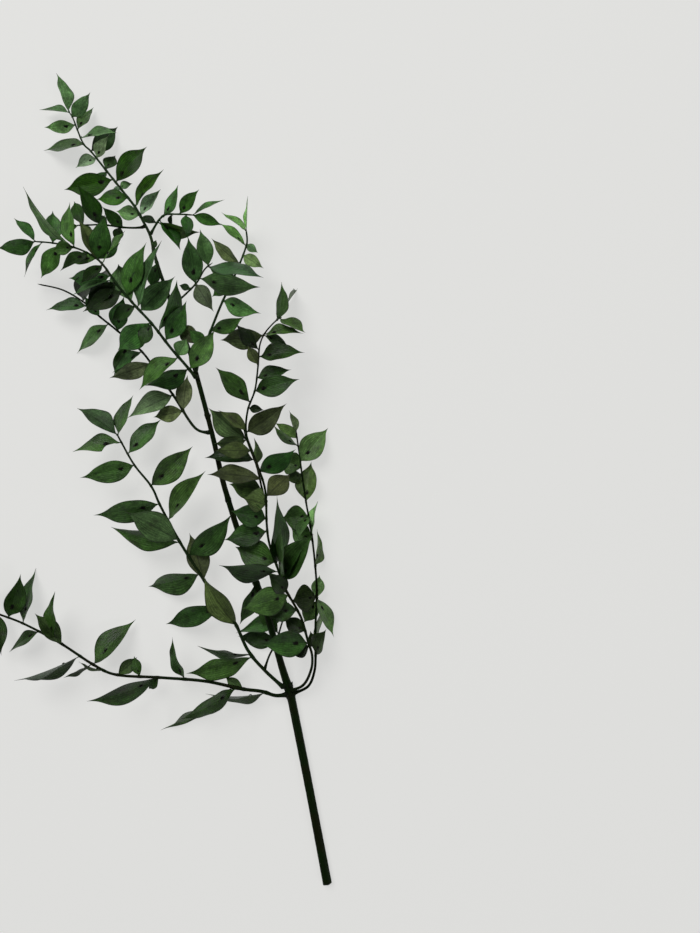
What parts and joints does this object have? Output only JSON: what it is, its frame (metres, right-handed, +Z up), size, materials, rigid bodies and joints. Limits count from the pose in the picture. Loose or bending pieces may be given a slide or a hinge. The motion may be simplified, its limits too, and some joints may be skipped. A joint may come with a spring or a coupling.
{
  "type": "dried ruscus stem",
  "caption": "Cut stem of preserved ruscus lying on a surface, a woody axis with alternate leafy side branches and pointed leaf-like blades",
  "frame": {"origin": "middle of the stem's box in plan, on the surface that the stem lies on", "axes": "+Y runs along the stem from its cut end to its tip, +Z is up from the surface, +X is to the right seen from above"},
  "size_m": [0.3223, 0.6242, 0.0714],
  "materials": {
    "stem": "dark green-brown dried bark, semi-matte, with faint ridges along the stem",
    "leaf": "preserved dark green leaf, leathery and semi-gloss, mottled, with fine veins along it"
  },
  "bodies": {
    "root": {"main_stem": "stem", "low_left_branch": "leaf", "left_branch": "leaf", "left_fork": "leaf", "middle_left_branch": "leaf", "high_left_branch": "leaf", "high_left_twig": "leaf", "top_right_twig": "leaf", "upper_right_twig": "leaf", "upper_right_branch": "leaf", "right_branch": "leaf", "right_fork": "leaf", "far_right_branch": "leaf"}
  },
  "joints": []
}
